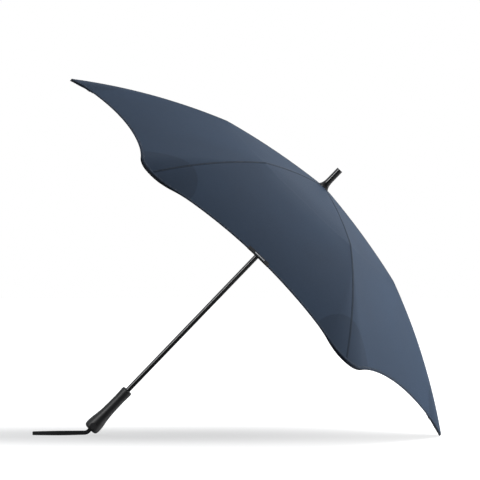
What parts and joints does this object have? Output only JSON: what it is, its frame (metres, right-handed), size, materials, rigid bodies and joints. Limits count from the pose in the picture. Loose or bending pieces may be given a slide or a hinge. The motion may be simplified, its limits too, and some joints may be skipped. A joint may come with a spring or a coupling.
{
  "type": "stick umbrella",
  "caption": "Open stick umbrella with scalloped canopy, round blunt tips, sliding runner, hinged ribs and struts, straight flared grip and wrist strap.",
  "frame": {"origin": "centre of the handle's lower end, on the shaft's axis", "axes": "+Z along the shaft towards the ferrule; the first rib lies over +X; the catches face +Y and the handle's badge faces -Y"},
  "size_m": [1.2, 1.0634, 0.9509],
  "materials": {
    "canopy_cloth": "tight matt polyester weave, slate navy",
    "shaft_black": "gloss black paint",
    "grip_rubber": "soft-touch matt charcoal",
    "badge_plastic": "matt",
    "black_plastic": "satin moulded",
    "gloss_black": "gloss",
    "rib_steel": "black coated",
    "fibreglass": "satin",
    "steel": "drawn wire",
    "webbing": "woven nylon webbing"
  },
  "bodies": {
    "shaft": {"shaft_tube": "shaft_black", "handle_grip": "grip_rubber", "handle_core": "black_plastic", "handle_badge": "badge_plastic", "strap_pin": "steel", "ferrule": "gloss_black", "crown_notch": "black_plastic", "crown_hinge_wire": "steel", "crown_washer": "black_plastic", "stop_ring": "black_plastic", "canopy": "canopy_cloth"},
    "runner": {"runner_body": "black_plastic", "runner_collar": "black_plastic", "runner_flange": "gloss_black", "runner_hinge_wire": "steel"},
    "rib_1": {"rib_inner_1": "rib_steel", "rib_joint_1": "black_plastic"},
    "rod_1": {"rib_outer_1": "fibreglass", "tip_base_1": "black_plastic"},
    "strut_1": {"strut_1": "rib_steel"},
    "spreader_left_1": {"spreader_left_1": "black_plastic"},
    "spreader_right_1": {"spreader_right_1": "black_plastic"},
    "rib_2": {"rib_inner_2": "rib_steel", "rib_joint_2": "black_plastic"},
    "rod_2": {"rib_outer_2": "fibreglass", "tip_base_2": "black_plastic"},
    "strut_2": {"strut_2": "rib_steel"},
    "spreader_left_2": {"spreader_left_2": "black_plastic"},
    "spreader_right_2": {"spreader_right_2": "black_plastic"},
    "rib_3": {"rib_inner_3": "rib_steel", "rib_joint_3": "black_plastic"},
    "rod_3": {"rib_outer_3": "fibreglass", "tip_base_3": "black_plastic"},
    "strut_3": {"strut_3": "rib_steel"},
    "spreader_left_3": {"spreader_left_3": "black_plastic"},
    "spreader_right_3": {"spreader_right_3": "black_plastic"},
    "rib_4": {"rib_inner_4": "rib_steel", "rib_joint_4": "black_plastic"},
    "rod_4": {"rib_outer_4": "fibreglass", "tip_base_4": "black_plastic"},
    "strut_4": {"strut_4": "rib_steel"},
    "spreader_left_4": {"spreader_left_4": "black_plastic"},
    "spreader_right_4": {"spreader_right_4": "black_plastic"},
    "rib_5": {"rib_inner_5": "rib_steel", "rib_joint_5": "black_plastic"},
    "rod_5": {"rib_outer_5": "fibreglass", "tip_base_5": "black_plastic"},
    "strut_5": {"strut_5": "rib_steel"},
    "spreader_left_5": {"spreader_left_5": "black_plastic"},
    "spreader_right_5": {"spreader_right_5": "black_plastic"},
    "rib_6": {"rib_inner_6": "rib_steel", "rib_joint_6": "black_plastic"},
    "rod_6": {"rib_outer_6": "fibreglass", "tip_base_6": "black_plastic"},
    "strut_6": {"strut_6": "rib_steel"},
    "spreader_left_6": {"spreader_left_6": "black_plastic"},
    "spreader_right_6": {"spreader_right_6": "black_plastic"},
    "upper_catch": {"upper_catch": "steel"},
    "lower_catch": {"lower_catch": "steel"},
    "wrist_strap": {"wrist_strap": "webbing"}
  },
  "joints": [
    {"name": "runner_slide", "type": "slide", "parent": "shaft", "child": "runner", "axis": [0, 0, -1], "range_m": [0, 0.34727], "deforming": ["canopy"]},
    {"name": "rib_hinge_1", "type": "hinge", "parent": "shaft", "child": "rib_1", "pos_m": [0.0125, 0, 0.7815], "axis": [0, 1, 0], "range_deg": [0, 76.8]},
    {"name": "knee_flex_1", "type": "hinge", "parent": "rib_1", "child": "rod_1", "pos_m": [0.27, 0, 0.74], "axis": [0, -1, 0], "range_deg": [0, 14.92]},
    {"name": "strut_hinge_1", "type": "hinge", "parent": "runner", "child": "strut_1", "pos_m": [0.025, 0, 0.582], "axis": [0, -1, 0], "range_deg": [0, 57.98]},
    {"name": "spreader_hinge_left_1", "type": "hinge", "parent": "rod_1", "child": "spreader_left_1", "pos_m": [0.58485, 0.007, 0.571], "axis": [0.5693, 0.2576, 0.7807], "range_deg": [0, 59.55]},
    {"name": "spreader_hinge_right_1", "type": "hinge", "parent": "rod_1", "child": "spreader_right_1", "pos_m": [0.58485, -0.007, 0.571], "axis": [-0.5693, 0.2576, -0.7807], "range_deg": [0, 59.55]},
    {"name": "rib_hinge_2", "type": "hinge", "parent": "shaft", "child": "rib_2", "pos_m": [0.00625, 0.01083, 0.7815], "axis": [-0.866, 0.5, 0], "range_deg": [0, 76.8]},
    {"name": "knee_flex_2", "type": "hinge", "parent": "rib_2", "child": "rod_2", "pos_m": [0.135, 0.23383, 0.74], "axis": [0.866, -0.5, 0], "range_deg": [0, 14.92]},
    {"name": "strut_hinge_2", "type": "hinge", "parent": "runner", "child": "strut_2", "pos_m": [0.0125, 0.02165, 0.582], "axis": [0.866, -0.5, 0], "range_deg": [0, 57.98]},
    {"name": "spreader_hinge_left_2", "type": "hinge", "parent": "rod_2", "child": "spreader_left_2", "pos_m": [0.28636, 0.50999, 0.571], "axis": [0.0615, 0.6218, 0.7807], "range_deg": [0, 59.55]},
    {"name": "spreader_hinge_right_2", "type": "hinge", "parent": "rod_2", "child": "spreader_right_2", "pos_m": [0.29849, 0.50299, 0.571], "axis": [-0.5077, -0.3642, -0.7807], "range_deg": [0, 59.55]},
    {"name": "rib_hinge_3", "type": "hinge", "parent": "shaft", "child": "rib_3", "pos_m": [-0.00625, 0.01083, 0.7815], "axis": [-0.866, -0.5, 0], "range_deg": [0, 76.8]},
    {"name": "knee_flex_3", "type": "hinge", "parent": "rib_3", "child": "rod_3", "pos_m": [-0.135, 0.23383, 0.74], "axis": [0.866, 0.5, 0], "range_deg": [0, 14.92]},
    {"name": "strut_hinge_3", "type": "hinge", "parent": "runner", "child": "strut_3", "pos_m": [-0.0125, 0.02165, 0.582], "axis": [0.866, 0.5, 0], "range_deg": [0, 57.98]},
    {"name": "spreader_hinge_left_3", "type": "hinge", "parent": "rod_3", "child": "spreader_left_3", "pos_m": [-0.29849, 0.50299, 0.571], "axis": [-0.5077, 0.3642, 0.7807], "range_deg": [0, 59.55]},
    {"name": "spreader_hinge_right_3", "type": "hinge", "parent": "rod_3", "child": "spreader_right_3", "pos_m": [-0.28636, 0.50999, 0.571], "axis": [0.0615, -0.6218, -0.7807], "range_deg": [0, 59.55]},
    {"name": "rib_hinge_4", "type": "hinge", "parent": "shaft", "child": "rib_4", "pos_m": [-0.0125, 0, 0.7815], "axis": [0, -1, 0], "range_deg": [0, 76.8]},
    {"name": "knee_flex_4", "type": "hinge", "parent": "rib_4", "child": "rod_4", "pos_m": [-0.27, 0, 0.74], "axis": [0, 1, 0], "range_deg": [0, 14.92]},
    {"name": "strut_hinge_4", "type": "hinge", "parent": "runner", "child": "strut_4", "pos_m": [-0.025, 0, 0.582], "axis": [0, 1, 0], "range_deg": [0, 57.98]},
    {"name": "spreader_hinge_left_4", "type": "hinge", "parent": "rod_4", "child": "spreader_left_4", "pos_m": [-0.58485, -0.007, 0.571], "axis": [-0.5693, -0.2576, 0.7807], "range_deg": [0, 59.55]},
    {"name": "spreader_hinge_right_4", "type": "hinge", "parent": "rod_4", "child": "spreader_right_4", "pos_m": [-0.58485, 0.007, 0.571], "axis": [0.5693, -0.2576, -0.7807], "range_deg": [0, 59.55]},
    {"name": "rib_hinge_5", "type": "hinge", "parent": "shaft", "child": "rib_5", "pos_m": [-0.00625, -0.01083, 0.7815], "axis": [0.866, -0.5, 0], "range_deg": [0, 76.8]},
    {"name": "knee_flex_5", "type": "hinge", "parent": "rib_5", "child": "rod_5", "pos_m": [-0.135, -0.23383, 0.74], "axis": [-0.866, 0.5, 0], "range_deg": [0, 14.92]},
    {"name": "strut_hinge_5", "type": "hinge", "parent": "runner", "child": "strut_5", "pos_m": [-0.0125, -0.02165, 0.582], "axis": [-0.866, 0.5, 0], "range_deg": [0, 57.98]},
    {"name": "spreader_hinge_left_5", "type": "hinge", "parent": "rod_5", "child": "spreader_left_5", "pos_m": [-0.28636, -0.50999, 0.571], "axis": [-0.0615, -0.6218, 0.7807], "range_deg": [0, 59.55]},
    {"name": "spreader_hinge_right_5", "type": "hinge", "parent": "rod_5", "child": "spreader_right_5", "pos_m": [-0.29849, -0.50299, 0.571], "axis": [0.5077, 0.3642, -0.7807], "range_deg": [0, 59.55]},
    {"name": "rib_hinge_6", "type": "hinge", "parent": "shaft", "child": "rib_6", "pos_m": [0.00625, -0.01083, 0.7815], "axis": [0.866, 0.5, 0], "range_deg": [0, 76.8]},
    {"name": "knee_flex_6", "type": "hinge", "parent": "rib_6", "child": "rod_6", "pos_m": [0.135, -0.23383, 0.74], "axis": [-0.866, -0.5, 0], "range_deg": [0, 14.92]},
    {"name": "strut_hinge_6", "type": "hinge", "parent": "runner", "child": "strut_6", "pos_m": [0.0125, -0.02165, 0.582], "axis": [-0.866, -0.5, 0], "range_deg": [0, 57.98]},
    {"name": "spreader_hinge_left_6", "type": "hinge", "parent": "rod_6", "child": "spreader_left_6", "pos_m": [0.29849, -0.50299, 0.571], "axis": [0.5077, -0.3642, 0.7807], "range_deg": [0, 59.55]},
    {"name": "spreader_hinge_right_6", "type": "hinge", "parent": "rod_6", "child": "spreader_right_6", "pos_m": [0.28636, -0.50999, 0.571], "axis": [-0.0615, 0.6218, -0.7807], "range_deg": [0, 59.55]},
    {"name": "upper_catch_press", "type": "hinge", "parent": "shaft", "child": "upper_catch", "pos_m": [0, 0.0045, 0.558], "axis": [1, 0, 0], "range_deg": [0, 3.5]},
    {"name": "lower_catch_press", "type": "hinge", "parent": "shaft", "child": "lower_catch", "pos_m": [0, 0.0045, 0.21], "axis": [1, 0, 0], "range_deg": [0, 3.5]},
    {"name": "strap_swing", "type": "hinge", "parent": "shaft", "child": "wrist_strap", "pos_m": [0, 0, 0.004], "axis": [1, 0, 0], "range_deg": [-38, 38]}
  ],
  "couplings": [
    {"joint": "rib_hinge_1", "follows": "runner_slide", "rad_per_m": 3.8589},
    {"joint": "knee_flex_1", "follows": "runner_slide", "rad_per_m": 0.7487},
    {"joint": "strut_hinge_1", "follows": "runner_slide", "rad_per_m": 2.9129},
    {"joint": "spreader_hinge_left_1", "follows": "runner_slide", "rad_per_m": 2.9917},
    {"joint": "spreader_hinge_right_1", "follows": "runner_slide", "rad_per_m": 2.9917},
    {"joint": "rib_hinge_2", "follows": "runner_slide", "rad_per_m": 3.8589},
    {"joint": "knee_flex_2", "follows": "runner_slide", "rad_per_m": 0.7487},
    {"joint": "strut_hinge_2", "follows": "runner_slide", "rad_per_m": 2.9129},
    {"joint": "spreader_hinge_left_2", "follows": "runner_slide", "rad_per_m": 2.9917},
    {"joint": "spreader_hinge_right_2", "follows": "runner_slide", "rad_per_m": 2.9917},
    {"joint": "rib_hinge_3", "follows": "runner_slide", "rad_per_m": 3.8589},
    {"joint": "knee_flex_3", "follows": "runner_slide", "rad_per_m": 0.7487},
    {"joint": "strut_hinge_3", "follows": "runner_slide", "rad_per_m": 2.9129},
    {"joint": "spreader_hinge_left_3", "follows": "runner_slide", "rad_per_m": 2.9917},
    {"joint": "spreader_hinge_right_3", "follows": "runner_slide", "rad_per_m": 2.9917},
    {"joint": "rib_hinge_4", "follows": "runner_slide", "rad_per_m": 3.8589},
    {"joint": "knee_flex_4", "follows": "runner_slide", "rad_per_m": 0.7487},
    {"joint": "strut_hinge_4", "follows": "runner_slide", "rad_per_m": 2.9129},
    {"joint": "spreader_hinge_left_4", "follows": "runner_slide", "rad_per_m": 2.9917},
    {"joint": "spreader_hinge_right_4", "follows": "runner_slide", "rad_per_m": 2.9917},
    {"joint": "rib_hinge_5", "follows": "runner_slide", "rad_per_m": 3.8589},
    {"joint": "knee_flex_5", "follows": "runner_slide", "rad_per_m": 0.7487},
    {"joint": "strut_hinge_5", "follows": "runner_slide", "rad_per_m": 2.9129},
    {"joint": "spreader_hinge_left_5", "follows": "runner_slide", "rad_per_m": 2.9917},
    {"joint": "spreader_hinge_right_5", "follows": "runner_slide", "rad_per_m": 2.9917},
    {"joint": "rib_hinge_6", "follows": "runner_slide", "rad_per_m": 3.8589},
    {"joint": "knee_flex_6", "follows": "runner_slide", "rad_per_m": 0.7487},
    {"joint": "strut_hinge_6", "follows": "runner_slide", "rad_per_m": 2.9129},
    {"joint": "spreader_hinge_left_6", "follows": "runner_slide", "rad_per_m": 2.9917},
    {"joint": "spreader_hinge_right_6", "follows": "runner_slide", "rad_per_m": 2.9917}
  ]
}
